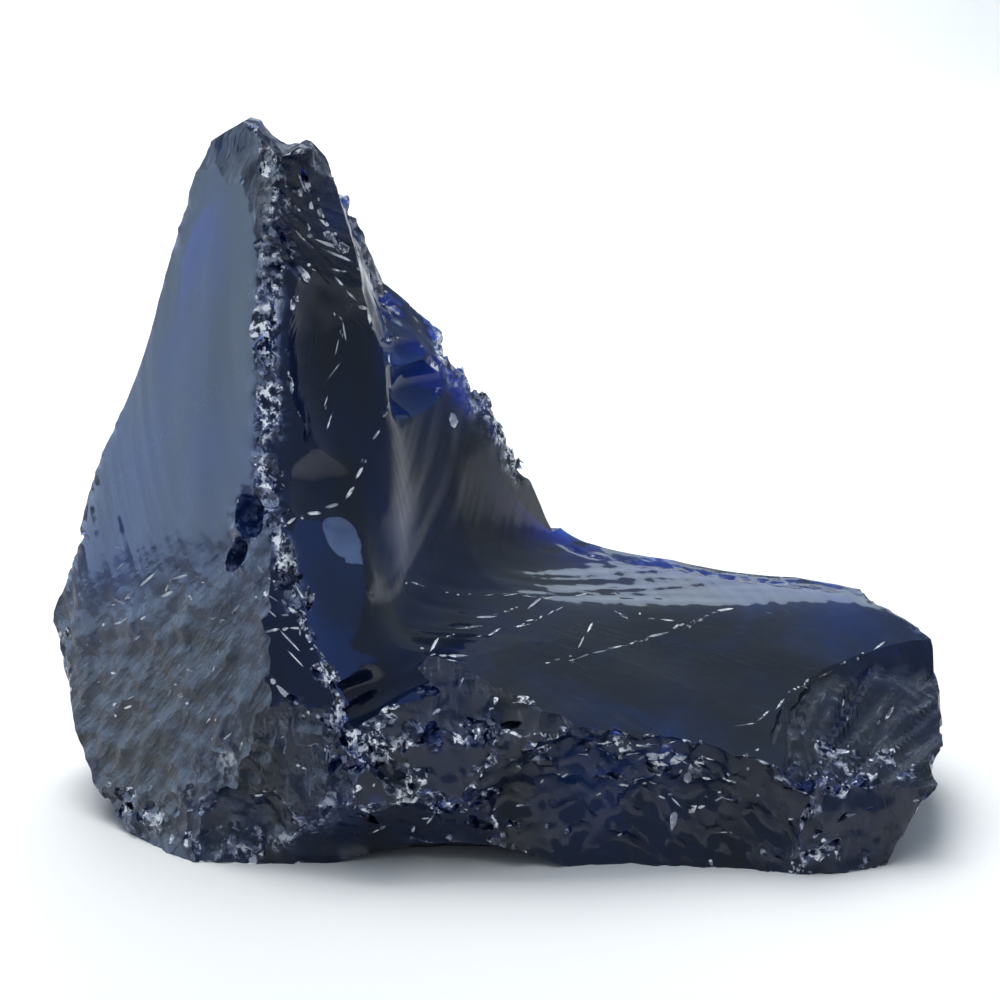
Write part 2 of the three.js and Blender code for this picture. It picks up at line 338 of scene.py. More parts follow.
def drop(things):
    for thing in things:
        mesh = thing.data
        bpy.data.objects.remove(thing)
        bpy.data.meshes.remove(mesh)


def settle(thing):
    """The object with its modifiers made real."""
    shown = thing.evaluated_get(bpy.context.evaluated_depsgraph_get())
    mesh = bpy.data.meshes.new_from_object(shown)
    old = thing.data
    thing.modifiers.clear()
    thing.data = mesh
    bpy.data.meshes.remove(old)
    return thing


def combine(stock, tools, way):
    """Cuts the tools from the stock, or joins or keeps what is common, and removes the tools."""
    group = bpy.data.collections.new("tools")
    for tool in tools:
        group.objects.link(tool)
    bpy.context.scene.collection.children.link(group)
    step = stock.modifiers.new("break", "BOOLEAN")
    step.operation = way
    step.solver = "MANIFOLD"
    step.operand_type = "COLLECTION"
    step.collection = group
    settle(stock)
    drop(tools)
    bpy.data.collections.remove(group)
    return stock


def block(name, sides, height):
    left, right = sides
    places = [(x, y, z) for x in (left, right) for y in (-DEPTH / 2, DEPTH / 2) for z in (0, height)]
    quads = [(0, 1, 3, 2), (4, 6, 7, 5), (0, 4, 5, 1), (2, 3, 7, 6), (0, 2, 6, 4), (1, 5, 7, 3)]
    made = mesh_object(name, places, quads)
    for each, amount in (("matte", 0.6), ("chipped", 0.0), ("glow", 0.0)):
        keep(made, each, "CORNER", np.full(24, amount))
    made.data.uv_layers.new(name="break_lines")
    return made


rough_places = places_of(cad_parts["glass_chunk"]) / MM


def break_off(stock, breaks):
    return combine(stock, [each.slab(rough_places) for each in breaks], "DIFFERENCE")


def break_step(stock, wall, tread):
    """A hollow corner: only the glass outside both the wall and the tread goes."""
    corner = combine(wall.slab(rough_places), [tread.slab(rough_places)], "INTERSECT")
    return combine(stock, [corner], "DIFFERENCE")


horn = break_off(block("horn", HORN_SIDES, HEIGHT), [
    Fracture("right_chips", through=(shoulder, right_low, (-7, -2.5, 52)),
             relief=lambda u, v: rugged(u, v, 3, 0.5, 21), matte=0.2),
    Fracture("back_right", through=(bump_right, right_low, back_ridge), start=(0, 30),
             form=lambda u, v: bowl(u, -200) + swell(v, 0, 12),
             relief=lambda u, v: rings(u, v, (0, 30), 4.5, 0.12) + 0.15 * uneven(u, v, 12, 22)),
    Fracture("back_left", through=(left_high, left_wide, back_ridge), start=(20, 40),
             form=lambda u, v: bowl(u, -200) + 0.6 * swell(v, -12, 10) - 2 * swell(v, 3, 12)
             - 0.7 * swell(v, -24, 8),
             relief=lambda u, v: rings(u, v, (20, 40), 5, 0.15) + 0.2 * uneven(u, v, 14, 23)),
])
horn = break_step(
    horn,
    Fracture("above_blade", through=(spine_top, spine_low, rib_mid),
             relief=lambda u, v: 0.2 * uneven(u, v, 6, 24)),
    Fracture("blade_side", through=(spine_low, blade_foot, (-14, -7.5, 44)),
             form=lambda u, v: bowl(u, 300), relief=lambda u, v: 0.12 * uneven(u, v, 12, 25)),
)
horn = break_step(
    horn,
    Fracture("shoulder_wall", through=(bump_right, rib_high, rib_mid),
             relief=lambda u, v: 0.2 * uneven(u, v, 6, 26)),
    Fracture("shoulder_top", through=(rib_high, shoulder, rib_mid),
             relief=lambda u, v: 0.25 * uneven(u, v, 5, 27)),
)
foot = break_off(block("foot", FOOT_SIDES, FOOT_HEIGHT), [
    Fracture("foot_top", through=((-1, -25, 22), (32, -27, 13.5), (24.5, 8, 25)),
             start=(-50, 20),
             relief=lambda u, v: 0.3 * uneven(u, v, 16, 31, 2) + rings(u, v, (-50, 20), 6, 0.1),
             matte=0.1),
    Fracture("knee", through=(blade_foot, (-8.5, -15, 27), (-1, -27, 19)),
             relief=lambda u, v: rugged(u, v, 4, 0.7, 32), matte=0.4),
    Fracture("foot_front", at=(12, -26.5, 10), facing=(0.02, -0.98, -0.1),
             relief=lambda u, v: rugged(u, v, 5, 0.8, 33), matte=0.1),
    Fracture("end_front", at=(43.5, -23, 7.5), facing=(0.4, -0.92, 0.04),
             relief=lambda u, v: rugged(u, v, 6, 0.7, 34), matte=0.3),
    Fracture("foot_end", through=((55, -19, 13), (46, -24, 0), (53, 15, 3)),
             form=lambda u, v: bowl(v, -60), relief=lambda u, v: rugged(u, v, 5, 0.6, 35), matte=0.5),
    Fracture("end_wall", at=(55.5, 0, 15), facing=(1, -0.1, 0.05),
             relief=lambda u, v: 0.3 * uneven(u, v, 5, 36), matte=0.5),
    Fracture("end_back", at=(54, 14.5, 20), facing=(0.8, 0.56, 0.05),
             relief=lambda u, v: 0.3 * uneven(u, v, 5, 37), matte=0.4),
    Fracture("end_top", at=(53.5, 8, 22), facing=(0.5, 0.1, 0.86),
             relief=lambda u, v: 0.3 * uneven(u, v, 5, 38), matte=0.3),
])
foot = break_step(
    foot,
    Fracture("hackle_wall", at=(36.5, -9, 16.5), facing=(0.78, -0.46, 0.42),
             form=lambda u, v: bowl(u, 60), relief=lambda u, v: 0.2 * uneven(u, v, 4, 41)),
    Fracture("hackle_floor", at=(46, -10, 13.5), facing=(0.3, -0.25, 0.92), start=(-16, -42),
             relief=lambda u, v: hackles(u, v, (-16, -42), 1.8, 0.6, 42), matte=0.45),
)
lump = combine(horn, [foot], "UNION")


def trough_form(u, v):
    bend = 0.79 * (np.hypot(v, 5) - 5) + np.minimum(0, 0.12 * u)
    return bend + bowl(u + 6, np.where(u < -6, 22, 45)) * np.clip(v / 12, 0, 1)


def cheek_relief(u, v):
    """Long upright flow waves on the smooth part, and a hackled lower part."""
    low = ramp(0.45 * u - v, 16, 28)
    along, aside = 0.6 * (u + v), v - u
    rough = rugged(along, aside, 6, 0.45, 52) + 0.2 * scoops(u, v, 1.7, 57)
    return 0.24 * uneven(u, v * 0.22, 9, 51, 2) + low * rough


def scar(name, at, facing, dish, **more):
    return Fracture(name, at=at, facing=facing, dish=dish, **more)


lump = break_off(lump, [
    Fracture("cheek", through=(spine_top, spine_low, left_wide), form=lambda u, v: bowl(u, -300),
             relief=cheek_relief, start=(45, 20), matte=lambda u, v: 0.6 * ramp(0.45 * u - v, 12, 32)),
    Fracture("cap", through=(crown, cap_left, cap_front), form=lambda u, v: bowl(u, -40),
             reach=(44, 44), relief=lambda u, v: rugged(u, v, 4, 0.6, 53), matte=0.7),
    Fracture("crown_right", at=(-24.5, 1, 85.5), facing=(0.3, -0.1, 0.95),
             relief=lambda u, v: 0.2 * uneven(u, v, 4, 54), matte=0.2),
    Fracture("crown_left", at=(-33.5, 1, 86), facing=(-0.5, 0.1, 0.86),
             relief=lambda u, v: 0.2 * uneven(u, v, 4, 55), matte=0.2),
    Fracture("ladder", through=(spine_low, blade_foot, (-26, -22, 28.5)),
             relief=lambda u, v: 0.15 * uneven(u, v, 4, 56)),
    Fracture("toe", at=(-26.5, -23.5, 12), facing=(-0.34, -0.94, 0.05),
             form=lambda u, v: bowl(u, 38) + bowl(v, 38),
             relief=lambda u, v: rugged(u, v, 3.5, 0.9, 57), matte=0.5),
    Fracture("heel", through=(left_low, (-51.5, -6, 4.5), (-53, 20, 8)),
             form=lambda u, v: bowl(v, -90), relief=lambda u, v: rugged(u, v, 4, 0.5, 58), matte=0.5),
    Fracture("heel_bevel", through=((-50.5, -6, 3), left_foot, (-47, 15, 0)),
             relief=lambda u, v: rugged(u, v, 3, 0.5, 59), matte=0.5),
    Fracture("back_foot", at=(20, 25.5, 16), facing=(0.05, 0.99, -0.1), start=(-50, 10),
             form=lambda u, v: bowl(u, -400) + bowl(v, -120),
             relief=lambda u, v: rings(u, v, (-50, 10), 6, 0.3) + 0.6 * uneven(u, v, 16, 60)),
    Fracture("trough", at=(-2.5, 5.5, 30), facing=(0.637, -0.318, 0.7), form=trough_form,
             start=(-20, 30),
             relief=lambda u, v: rings(u, v, (-20, 30), 4, 0.07, 80) + 0.05 * uneven(u, v, 12, 61)
             + hackles(u, v, (-60, 36), 1.2, 0.07, 62) * (1 - ramp(v, -2, 8))),
    scar("crown_notch", (-26.5, -2, 86.5), (0.1, -0.35, 0.93), (6.5, 11, 1.4)),
    scar("streaks", (-22, -4, 74), (0.6, -0.72, 0.34), (10.5, 14.5, 0.9), start=(-8, 8),
         relief=lambda u, v: hackles(u, v, (-8, 8), 3, 0.5, 62), matte=0.3),
    scar("dark_bowl", (-19.5, -7.5, 59), (0.56, -0.8, 0.22), (14, 25, 2.6), start=(0, 12),
         relief=lambda u, v: 0.25 * uneven(u, v, 6, 64, 2)),
    scar("small_scoop", (-21, -13, 45), (0.5, -0.78, 0.38), (10.5, 9, 1.5),
         relief=lambda u, v: 0.2 * uneven(u, v, 4, 65, 2)),
    scar("bite_high", (-30.5, -15.5, 42.5), (-0.3, -0.92, 0.1), (4.5, 5.5, 3), turn=30,
         relief=lambda u, v: 0.8 * scoops(u, v, 2.6, 67)),
    scar("bite_low", (-32, -15.5, 37.5), (-0.55, -0.82, 0.1), (3, 5.5, 2.6), turn=-30,
         relief=lambda u, v: 0.8 * scoops(u, v, 2.6, 68)),
    scar("crown_dip", (-26, 2, 86), (0.12, 0, 0.99), (5, 34, 1.4), matte=0.6,
         relief=lambda u, v: rugged(u, v, 3, 0.7, 80)),
    # These four dishes get a painted blue glow, standing in for light shining through thin glass.
    scar("painted_backlight_high", (-11, 3.5, 59), (0.6, -0.7, 0.4), (8.5, 5, 1.5), light=0.4),
    scar("painted_backlight_low", (-9.5, 4.5, 54), (0.6, -0.78, 0.15), (10.5, 6, 1.6), light=0.4),
    scar("painted_backlight_face", (-19.5, -18, 34), (0.5, -0.74, 0.44), (9, 22, 0.8), light=0.7,
         relief=lambda u, v: 0.2 * uneven(u, v, 5, 76)),
    scar("painted_backlight_patch", (-19, -14.5, 39.5), (0.46, -0.8, 0.38), (5, 7.5, 0.8), light=1.5, turn=20,
         relief=lambda u, v: 0.5 * scoops(u, v, 3, 78)),
    scar("dark_face", (-12.5, -9, 35), (0.75, -0.5, 0.42), (9, 7, 0.6), turn=-30,
         relief=lambda u, v: 0.15 * uneven(u, v, 5, 77)),
    scar("crescent_high", (-13, -18.5, 24), (0.2, -0.82, 0.5), (11, 2.5, 0.6), turn=28),
    scar("crescent_low", (-14.5, -20, 21.5), (0.3, -0.9, 0.2), (8, 2, 0.6), turn=24),
    scar("saddle_bowl", (27, 22, 25.5), (0.2, 0.05, 0.98), (17, 17, 0.6)),
    scar("toe_hollow", (-30, -22, 6.5), (-0.35, -0.82, -0.45), (12.5, 9, 2.6), matte=0.25,
         relief=lambda u, v: rugged(u, v, 3, 0.9, 69)),
    scar("front_hollow", (15, -25, 10.5), (0.03, -0.92, -0.38), (36.5, 21, 4.4), matte=0.08,
         relief=lambda u, v: rugged(u, v, 4, 1.0, 63) + 0.25 * scoops(u, v, 1.5, 79)),
    scar("arch", (-7, -25.5, 4.5), (-0.14, -0.8, -0.58), (38, 15, 3.6), start=(-4, -10),
         relief=lambda u, v: rings(u, v, (-14, -16), 3.4, 0.1, 40) + rugged(u, v, 4, 0.5, 66)),
    scar("arch_gap", (-4, -20, 0.5), (-0.05, -0.3, -0.95), (24, 18, 2),
         relief=lambda u, v: rugged(u, v, 4, 0.3, 74)),
    scar("back_throat", (-15, 18.5, 50), (0.4, 0.8, 0.46), (18, 21.5, 2.6)),
    scar("back_high", (-33, 11.5, 62), (-0.5, 0.8, 0.3), (16, 24, 1.8), start=(0, 12),
         relief=lambda u, v: rings(u, v, (0, 12), 3, 0.08, 40)),
    scar("back_low", (-36, 22, 26), (-0.35, 0.93, 0.1), (32, 28, 3.2), start=(10, 14),
         relief=lambda u, v: rings(u, v, (10, 14), 4, 0.2, 40)),
    scar("back_foot_bowl", (14, 25.5, 13), (0.02, 0.99, -0.15), (37, 25.5, 3.4), start=(-18, 0),
         relief=lambda u, v: rings(u, v, (-18, 0), 4, 0.25, 60) + rugged(u, v, 9, 0.5, 81)),
])


def ease(thing, line, width, rounds):
    """Rounds a ridge off: each point near the line drifts to the middle of its neighbours."""
    places = places_of(thing)
    amount = sum(closeness(places, a, b, width) for a, b in zip(line[:-1], line[1:]))
    amount = np.clip(amount * 1.5, 0, 1)[:, None]
    ends = np.empty(len(thing.data.edges) * 2, np.int32)
    thing.data.edges.foreach_get("vertices", ends)
    a, b = ends.reshape(-1, 2).T
    near = (amount[a, 0] > 0.01) | (amount[b, 0] > 0.01)
    a, b = a[near], b[near]
    degree = np.bincount(a, minlength=len(places)) + np.bincount(b, minlength=len(places))
    for _ in range(rounds):
        pull = np.zeros_like(places)
        np.add.at(pull, a, places[b])
        np.add.at(pull, b, places[a])
        middle = pull / np.maximum(degree, 1)[:, None]
        places = np.where(degree[:, None] > 0, places + 0.5 * amount * (middle - places), places)
    thing.data.vertices.foreach_set("co", places.astype(np.float32).ravel())
    thing.data.update()


ease(lump, [(-14, -4.5, 50), (-13.5, -7, 42), (-14.5, -12, 33), (-15, -18, 26)], 2.6, 60)
ease(lump, [(2, -4, 26.5), (15, -1.5, 24.5), (25.5, 2, 23.5), (38.5, 11, 22.5), (48, 17, 21.5)], 3.5, 80)


# Chips and slivers off the finished lump. Every keen edge has lost small flakes to knocks, most
# along the spine, the foot's front rim and the resting edge, and thin slivers have sprung off the
# faces along fine cracks. The flakes are cut by geometry nodes, the slivers by narrow lenses.
def socket_of(sockets, name):
    """A socket by its place, or by its identifier where several share a name."""
    if isinstance(name, int):
        return sockets[name]
    return next(each for each in sockets if name in (each.identifier, each.name))


def add_node(tree, kind, inputs=(), **settings):
    """A node with its settings, and inputs that are values or other nodes' outputs."""
    node = tree.nodes.new(kind)
    for name, value in settings.items():
        setattr(node, name, value)
    for name, value in dict(inputs).items():
        socket = socket_of(node.inputs, name)
        if isinstance(value, bpy.types.NodeSocket):
            tree.links.new(value, socket)
        elif isinstance(value, (list, tuple)) and isinstance(value[0], bpy.types.NodeSocket):
            for each in value:
                tree.links.new(each, socket)
        else:
            socket.default_value = value
    return node


def maths(tree, operation, *values):
    return add_node(tree, "ShaderNodeMath", dict(enumerate(values)), operation=operation).outputs[0]


battered_lines = [
    # from, to, how wide, how badly
    (spine_top, spine_low, 3.0, 2.6),
    ((-28, -4, 87), spine_top, 4, 1.2),
    (rib_high, shoulder, 4, 1.4),
    (shoulder, right_low, 4, 2.2),
    (spine_low, blade_foot, 2, 0.8),
    (blade_foot, (0, -27, 17), 5, 1.4),
    ((0, -27, 17), (32, -27, 12), 4, 1.1),
    ((40, -25, 11), (54, -14, 17), 5, 1.6),
    ((-50, -6, 3), (-30, -26, 3), 4, 2.0),
    ((-30, -26, 3), (-8, -27, 9), 5, 2.0),
    ((-8, -27, 9), (8, -27, 3), 4, 1.6),
    ((14, -27, 2), (50, -23, 2), 3, 1.2),
    (left_wide, left_low, 3, 1.0),
]


def flake_tree(name, material):
    """Geometry nodes that cut small flakes out of a mesh along its keen edges."""
    tree = bpy.data.node_groups.new(name, "GeometryNodeTree")
    tree.interface.new_socket("Geometry", in_out="INPUT", socket_type="NodeSocketGeometry")
    for label in ("Density", "Smallest", "Largest", "Steepness", "Keenness", "Depth"):
        tree.interface.new_socket(label, in_out="INPUT", socket_type="NodeSocketFloat")
    tree.interface.new_socket("Seed", in_out="INPUT", socket_type="NodeSocketInt")
    tree.interface.new_socket("Geometry", in_out="OUTPUT", socket_type="NodeSocketGeometry")
    given = tree.nodes.new("NodeGroupInput").outputs
    done = tree.nodes.new("NodeGroupOutput")

    def roll(low, high, shift):
        node = add_node(
            tree, "FunctionNodeRandomValue",
            {"Min_001": low, "Max_001": high, "Seed": maths(tree, "ADD", given["Seed"], shift)},
            data_type="FLOAT",
        )
        return socket_of(node.outputs, "Value_001")

    knocks = add_node(tree, "GeometryNodeInputNamedAttribute", {"Name": "battered"}, data_type="FLOAT")
    busy = maths(tree, "MULTIPLY", knocks.outputs["Attribute"], given["Density"])
    normal = add_node(tree, "GeometryNodeInputNormal").outputs[0]
    ends = add_node(tree, "GeometryNodeInputMeshEdgeVertices").outputs
    length = add_node(
        tree, "ShaderNodeVectorMath",
        {0: ends["Position 1"], 1: ends["Position 2"]}, operation="DISTANCE",
    ).outputs["Value"]
    angle = add_node(tree, "GeometryNodeInputMeshEdgeAngle").outputs["Signed Angle"]
    keen = add_node(
        tree, "FunctionNodeCompare", {"A": angle, "B": given["Keenness"]},
        data_type="FLOAT", operation="GREATER_THAN",
    ).outputs[0]
    chance = maths(tree, "MULTIPLY", maths(tree, "MULTIPLY", length, busy), angle)
    taken = add_node(
        tree, "FunctionNodeRandomValue", {"Probability": chance, "Seed": given["Seed"]},
        data_type="BOOLEAN",
    )
    both = add_node(
        tree, "FunctionNodeBooleanMath", {0: keen, 1: socket_of(taken.outputs, "Value_003")},
        operation="AND",
    ).outputs[0]
    kept = add_node(
        tree, "GeometryNodeCaptureAttribute", {"Geometry": given["Geometry"]}, domain="EDGE"
    )
    kept.capture_items.new("VECTOR", "away")
    tree.links.new(normal, kept.inputs["away"])
    points = add_node(
        tree, "GeometryNodeMeshToPoints",
        {"Mesh": kept.outputs["Geometry"], "Selection": both}, mode="EDGES",
    ).outputs[0]
    away = kept.outputs["away"]
    luck = maths(tree, "POWER", roll(0, 1, 1), given["Steepness"])
    size = add_node(
        tree, "ShaderNodeMapRange",
        {"Value": luck, "To Min": given["Smallest"], "To Max": given["Largest"]},
    ).outputs[0]
    kept_size = add_node(tree, "GeometryNodeCaptureAttribute", {"Geometry": points}, domain="POINT")
    kept_size.capture_items.new("FLOAT", "size")
    tree.links.new(size, kept_size.inputs["size"])
    size = kept_size.outputs["size"]
    lift = maths(tree, "MULTIPLY", size, maths(tree, "ADD", given["Depth"], roll(-0.15, 0.2, 2)))
    offset = add_node(tree, "ShaderNodeVectorMath", {0: away, "Scale": lift}, operation="SCALE").outputs[0]
    moved = add_node(
        tree, "GeometryNodeSetPosition", {"Geometry": kept_size.outputs["Geometry"], "Offset": offset}
    ).outputs[0]
    lumps = []
    # The flakes are white: crushed glass, and partly painted glints.
    for level, white in ((1, 1.0), (2, 0.45), (1, 0.75)):
        ball = add_node(tree, "GeometryNodeMeshIcoSphere", {"Radius": 1.0, "Subdivisions": level})
        stored = add_node(
            tree, "GeometryNodeStoreNamedAttribute",
            {"Geometry": ball.outputs[0], "Name": "chipped", "Value": white},
            data_type="FLOAT", domain="CORNER",
        )
        lumps.append(stored.outputs[0])
    shapes = add_node(tree, "GeometryNodeGeometryToInstance", {"Geometry": lumps}).outputs[0]
    lean = add_node(tree, "FunctionNodeAlignRotationToVector", {"Vector": away}, axis="Z").outputs[0]
    spin = add_node(
        tree, "FunctionNodeRandomValue",
        {"Min": (-0.5, -0.5, 0), "Max": (0.5, 0.5, 6.28),
         "Seed": maths(tree, "ADD", given["Seed"], 3)},
        data_type="FLOAT_VECTOR",
    ).outputs[0]
    turn = add_node(tree, "FunctionNodeEulerToRotation", {0: spin}).outputs[0]
    turned = add_node(
        tree, "FunctionNodeRotateRotation", {"Rotation": lean, "Rotate By": turn}, rotation_space="LOCAL"
    ).outputs[0]
    wide = maths(tree, "MULTIPLY", size, roll(1.2, 2.2, 4))
    thin = maths(tree, "MULTIPLY", size, roll(0.25, 0.55, 5))
    scale = add_node(tree, "ShaderNodeCombineXYZ", {"X": wide, "Y": size, "Z": thin}).outputs[0]
    pick = add_node(tree, "FunctionNodeRandomValue", {"Min_002": 0, "Max_002": 2}, data_type="INT")
    flakes = add_node(
        tree, "GeometryNodeInstanceOnPoints",
        {"Points": moved, "Instance": shapes, "Pick Instance": True,
         "Instance Index": socket_of(pick.outputs, "Value_002"), "Rotation": turned, "Scale": scale},
    ).outputs[0]
    cut = add_node(
        tree, "GeometryNodeMeshBoolean", {"Mesh 1": given["Geometry"], "Mesh 2": flakes},
        operation="DIFFERENCE", solver="MANIFOLD",
    ).outputs[0]
    real = add_node(tree, "GeometryNodeRealizeInstances", {"Geometry": cut}).outputs[0]
    painted = add_node(tree, "GeometryNodeSetMaterial", {"Geometry": real, "Material": material}).outputs[0]
    tree.links.new(painted, done.inputs[0])
    return tree


def flake_off(thing, tree, **amounts):
    step = thing.modifiers.new("flakes", "NODES")
    step.node_group = tree
    for item in tree.interface.items_tree:
        if item.in_out == "INPUT" and item.name.lower() in amounts:
            step[item.identifier] = amounts[item.name.lower()]
    return settle(thing)


glass = bpy.data.materials.new("slag_glass")
edge_flakes = flake_tree("edge_flakes", glass)


def batter(thing, lines):
    """Notes at each point how hard it was knocked, for the flakes to read."""
    places = places_of(thing)
    amount = sum(badly * closeness(places, a, b, wide) for a, b, wide, badly in lines)
    keep(thing, "battered", "POINT", amount)


def scratch(thing, lines, seed):
    """Thin slivers knocked out along the given lines, each a narrow lens pressed into the surface."""
    luck = np.random.default_rng(seed)
    surface = BVHTree.FromObject(thing, bpy.context.evaluated_depsgraph_get())
    shape = bmesh.new()
    bmesh.ops.create_icosphere(shape, subdivisions=1, radius=1)
    lens = np.array([corner.co for corner in shape.verts])
    sides = np.array([[corner.index for corner in face.verts] for face in shape.faces])
    shape.free()
    lens = lens[:, [2, 0, 1]]
    places, faces = [], []
    for line, width, gap in lines:
        for start, end in zip(line[:-1], line[1:]):
            start, end = np.asarray(start, float), np.asarray(end, float)
            length, done = np.linalg.norm(end - start), luck.uniform(0, gap)
            while done < length:
                piece = min(0.5 + 4.5 * luck.random() ** 2.5, length + 0.4)
                centre = start + (end - start) * (done + piece / 2) / length + luck.normal(0, 0.25, 3)
                spot, normal, _, _ = surface.find_nearest(centre)
                spot, normal = np.array(spot), np.array(normal)
                ahead = unit(end - start + luck.normal(0, 0.2 * length, 3))
                aside = unit(np.cross(normal, ahead))
                size = np.array([piece / 2, *width * luck.uniform(0.5, 1.3, 2)])
                faces.extend(sides + len(places) * len(lens))
                chip = lens * luck.uniform(0.8, 1.2, (len(lens), 1)) * size
                places.append(chip @ np.array([np.cross(aside, normal), aside, normal]) + spot)
                done += piece + gap * luck.random() ** 1.5
    slivers = mesh_object("slivers", np.concatenate(places), faces)
    amounts = {"matte": 0.2 + np.zeros(len(places)), "glow": np.zeros(len(places))}
    # The slivers are painted white: crushed glass, and partly painted glints.
    amounts["chipped"] = luck.uniform(1.3, 1.9, len(places))
    for each, amount in amounts.items():
        keep(slivers, each, "CORNER", np.repeat(amount, 3 * len(sides)))
    slivers.data.uv_layers.new(name="break_lines")
    return combine(thing, [slivers], "DIFFERENCE")


def strewn(thing, low, high, lean, count, seed):
    """Short lines scattered over the front within a box, all leaning much the same way."""
    luck = np.random.default_rng(seed)
    surface = BVHTree.FromObject(thing, bpy.context.evaluated_depsgraph_get())
    lines = []
    for _ in range(count):
        x, z = luck.uniform(low[0], high[0]), luck.uniform(low[1], high[1])
        turn = math.radians(luck.normal(lean, 22))
        half = luck.uniform(0.4, 2.0) * np.array([math.cos(turn), math.sin(turn)])
        ends = []
        for side in (-1, 1):
            start = Vector((x + side * half[0], -90, z + side * half[1]))
            ends.append(surface.ray_cast(start, Vector((0, 1, 0)))[0])
        if ends[0] and ends[1] and (ends[0] - ends[1]).length < 6:
            lines.append((ends, luck.uniform(0.08, 0.25), 3))
    return lines


def sweep_crumbs(thing):
    """Takes away the few crumbs that the chips have cut quite free."""
    shape = bmesh.new()
    shape.from_mesh(thing.data)
    waiting = set(shape.verts)
    pieces = []
    while waiting:
        piece = [waiting.pop()]
        for corner in piece:
            for edge in corner.link_edges:
                other = edge.other_vert(corner)
                if other in waiting:
                    waiting.remove(other)
                    piece.append(other)
        pieces.append(piece)
    biggest = max(pieces, key=len)
    for piece in pieces:
        if piece is not biggest:
            bmesh.ops.delete(shape, geom=piece, context="VERTS")
    shape.to_mesh(thing.data)
    shape.free()


scratch(lump, [
    # points, how wide, how far apart
    ([(-12.5, -8, 31.5), (0, 1, 30), (15, 9.5, 26)], 0.12, 3),
    ([(-9.5, -15.5, 25.5), (-6, -10.5, 26), (-1, -4, 26.5), (7.5, 5, 26.5)], 0.22, 0.5),
    ([(-3.5, -10.5, 25.5), (2.5, -5.5, 25.5), (7, 0, 26)], 0.15, 0.8),
    ([(5.5, -14, 23.5), (11, -10, 23.5), (18.5, -3, 23.5), (28, 8, 23.5)], 0.22, 0.3),
    ([(-20, -4, 65), (-19, -4, 63), (-20, -4.5, 60), (-21, -8, 53)], 0.1, 0.1),
    ([(-24, -3, 82), (-22, -2.5, 78), (-20.5, -2, 74.5), (-17.5, -1.5, 72)], 0.3, 0.6),
    ([(-17.5, -1.5, 72), (-16, -3, 66)], 0.3, 0.6),
    ([(5, -23.5, 11), (12, -23, 13.5), (18, -23, 14), (24, -23, 12), (27.5, -23.5, 10.5)], 0.22, 0.1),
    ([(-27, -22, 24), (-22.5, -23, 21), (-18.5, -27, 18.5), (-13.5, -27.5, 15.5)], 0.35, 0.3),
    ([(-16, -28, 17.5), (-10.5, -27.5, 18)], 0.6, 0.5),
    ([(29, -19, 16.5), (37.5, -6, 18), (48.5, 8, 19.5)], 0.2, 2),
    ([(-14.5, 5, 62), (-14, -5.5, 52), (-18.5, -12, 43.5), (-25.5, -17, 42)], 0.22, 2),
    ([(1, -26.5, 16), (16.5, -24, 16), (26.5, -23.5, 12.5)], 0.18, 1.5),
    ([(-26.5, -20, 40), (-24, -22, 32), (-18, -27, 19)], 0.25, 1.5),
    ([(-25, -6, 74.5), (-22, -3, 73.5), (-14.5, 10.5, 65)], 0.3, 1.0),
    ([(-27.5, -9.5, 71.5), (-20.5, -4, 70.5), (-15, -3, 62.5)], 0.22, 1.2),
    ([(-23, -2.5, 78.5), (-23, -4, 73)], 0.35, 1.5),
    ([(-29, -18, 36.5), (-23.5, -21.5, 34)], 0.2, 0.2),
    ([(-28, -19, 34), (-22.5, -22.5, 31.5)], 0.15, 0.2),
    ([(-27.5, -20, 32), (-22, -23, 29.5)], 0.15, 0.2),
    ([(-26.5, -21, 29.5), (-21, -24, 27)], 0.12, 0.2),
    ([(-25.5, -22, 27.5), (-20.5, -25, 25)], 0.12, 0.2),
    ([(-47.5, -1.5, 27.5), (-44, -4.5, 31.5)], 0.25, 0.3),
    ([(-21, -3, 74.5), (-19.5, -2, 73)], 0.8, 0.2),
    ([(-16, -1, 66.5), (-15.5, -1, 65)], 0.8, 0.2),
    ([(-6.5, 8, 50.5), (-6, 8.5, 48.5)], 0.9, 0.1),
    ([(-7.5, -16, 25), (-5.5, -16, 25)], 0.6, 0.1),
    ([(17.5, -22.5, 11), (20, -22.5, 12.5)], 0.8, 0.1),
    ([(18, -22.5, 13), (19, -22.5, 11)], 0.6, 0.1),
    ([(23, -22.5, 11.5), (22.5, -22, 7.5), (20, -22.5, 4.5)], 0.5, 0.1),
], 81)
scratch(lump, strewn(lump, (-52, 12), (-24, 36), 35, 60, 82)
        + strewn(lump, (-24, 3), (0, 20), 20, 50, 83)
        + strewn(lump, (0, 3), (52, 16), 10, 60, 84)
        + strewn(lump, (-10, 22), (45, 30), 15, 25, 86), 87)
batter(lump, battered_lines)
flake_off(lump, edge_flakes, density=0.5, smallest=0.4, largest=1.8, steepness=3.0, depth=0.2,
          keenness=0.5, seed=7)
sweep_crumbs(lump)


# The glass itself: cobalt-dark glass, clear enough to glow blue where it is thin and near black
# where it is thick, with more blue glow painted into its colour at chosen places. Fresh breaks are
# fire-bright, hackled breaks are matte, and crushed chips are white with tiny cracks, partly painted glints.
GLASS_BENDING = 1.46
GLASS_DEPTH = 800.0
MOST_CLEAR = 0.94
DEEP_BLUE = (0.03, 0.12, 0.52)
SLATE_BLUE = (0.07, 0.12, 0.24)
DULL_GREY = (0.04, 0.055, 0.07)
PAINTED_LIGHT_BLUE = (0.03, 0.09, 0.42)
PAINTED_BRIGHT_BLUE = (0.35, 0.52, 0.95)
GLINT_AND_CRUSH_WHITE = (0.93, 0.95, 0.98)
PASSED_BLUE = (0.05, 0.20, 0.66)


